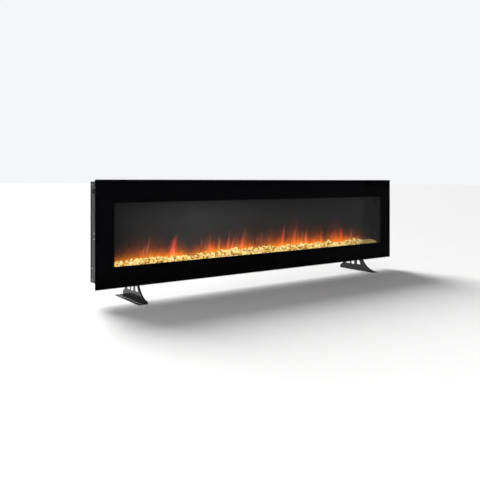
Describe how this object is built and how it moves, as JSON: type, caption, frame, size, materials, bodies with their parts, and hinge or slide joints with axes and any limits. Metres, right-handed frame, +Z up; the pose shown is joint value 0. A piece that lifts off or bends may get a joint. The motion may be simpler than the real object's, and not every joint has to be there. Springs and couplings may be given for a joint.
{
  "type": "electric fireplace",
  "caption": "Wide, slim electric fireplace with a black glass front over a crystal ember bed and flame screen, in a shallow black steel case on folded steel feet.",
  "frame": {"origin": "on the floor, midway between the ends and midway between the toes of the feet", "axes": "+Z up, +X along the width to the end with the controls, the glass faces -Y"},
  "size_m": [1.829, 0.262, 0.53],
  "materials": {
    "tempered_glass": "polished, edge arrised",
    "black_print": "gloss black ceramic print behind the glass",
    "foam_tape": "closed-cell foam",
    "zinc_steel": "zinc plated",
    "galvanised": "galvanised sheet",
    "black_steel": "fine textured black powder coat",
    "foot_steel": "satin black powder coat",
    "black_screw": "blackened",
    "black_plastic": "moulded, fine texture",
    "rubber": "matt",
    "smoked_acrylic": "frosted dark acrylic",
    "clear_plastic": "frosted clear moulding",
    "crystal": "faceted, lit from below",
    "liner_black": "matt black",
    "lamp_board": "white solder mask",
    "lamp_chip": "phosphor dome",
    "aluminium": "mill finish",
    "mirror_foil": "bright foil",
    "steel_shaft": "ground",
    "brass": "sintered",
    "motor_can": "zinc plated can",
    "heater_metal": "brazed fins",
    "board_green": "green solder mask",
    "component_mix": "moulded components",
    "wire": "PVC sleeve",
    "display_lens": "smoked lens",
    "button_plastic": "satin"
  },
  "bodies": {
    "case": {"fascia_top": "black_steel", "fascia_bottom": "black_steel", "fascia_sides": "black_steel", "top_wall": "black_steel", "bottom_wall": "black_steel", "left_end_plate": "black_steel", "right_end_plate": "black_steel", "rear_cover": "black_steel", "service_cover": "black_steel", "side_vents": "black_plastic", "recess_brackets": "zinc_steel", "side_access_cover": "black_steel", "outlet_grille": "black_plastic", "rivet_nuts": "zinc_steel", "cord_gland": "black_plastic", "case_screws": "zinc_steel", "foot_left": "foot_steel", "foot_right": "foot_steel", "foot_pads": "rubber", "foot_screws": "black_screw", "mid_deck": "galvanised", "firebox_liners": "liner_black", "flame_screen": "smoked_acrylic", "screen_channels": "liner_black", "ember_tray": "clear_plastic", "tray_ribs": "galvanised", "ember_crystals": "crystal", "led_boards": "lamp_board", "led_chips": "lamp_chip", "led_rails": "aluminium", "flame_stencil": "galvanised", "rotor_brackets": "galvanised", "rotor_bushes": "brass", "rotor_motor": "motor_can", "fan_housing": "galvanised", "fan_bearing": "black_plastic", "fan_motor": "motor_can", "ptc_heater": "heater_metal", "thermal_cutout": "black_plastic", "control_board": "board_green", "board_parts": "component_mix", "led_driver": "aluminium", "display_module": "display_lens", "wire_harness": "wire", "rocker_housing": "black_plastic", "button_bezel": "black_plastic"},
    "front_panel": {"front_glass": "tempered_glass", "border_print": "black_print", "panel_tape": "foam_tape", "panel_cross_rails": "zinc_steel", "panel_side_rails": "zinc_steel", "panel_hooks": "zinc_steel"},
    "flame_rotor": {"rotor_shaft": "steel_shaft", "flame_foils": "mirror_foil"},
    "fan_rotor": {"fan_wheel": "aluminium", "fan_shaft": "steel_shaft"},
    "rocker": {"power_rocker": "button_plastic"},
    "heat_button": {"button_heat": "button_plastic"},
    "flame_button": {"button_flame": "button_plastic"},
    "power_button": {"button_power": "button_plastic"}
  },
  "joints": [
    {"name": "panel_lift", "type": "slide", "parent": "case", "child": "front_panel", "axis": [0, 0, 1], "range_m": [0, 0.013]},
    {"name": "rotor_spin", "type": "hinge", "parent": "case", "child": "flame_rotor", "pos_m": [0, 0.006, 0.128], "axis": [1, 0, 0], "continuous": true},
    {"name": "fan_spin", "type": "hinge", "parent": "case", "child": "fan_rotor", "pos_m": [0, -0.002, 0.466], "axis": [1, 0, 0], "continuous": true},
    {"name": "rocker_turn", "type": "hinge", "parent": "case", "child": "rocker", "pos_m": [0.891, -0.024, 0.42], "axis": [0, -1, 0], "range_deg": [0, 20]},
    {"name": "heat_press", "type": "slide", "parent": "case", "child": "heat_button", "axis": [-1, 0, 0], "range_m": [0, 0.0012], "stiffness_N_per_m": 300},
    {"name": "flame_press", "type": "slide", "parent": "case", "child": "flame_button", "axis": [-1, 0, 0], "range_m": [0, 0.0012], "stiffness_N_per_m": 300},
    {"name": "power_press", "type": "slide", "parent": "case", "child": "power_button", "axis": [-1, 0, 0], "range_m": [0, 0.0012], "stiffness_N_per_m": 300}
  ]
}
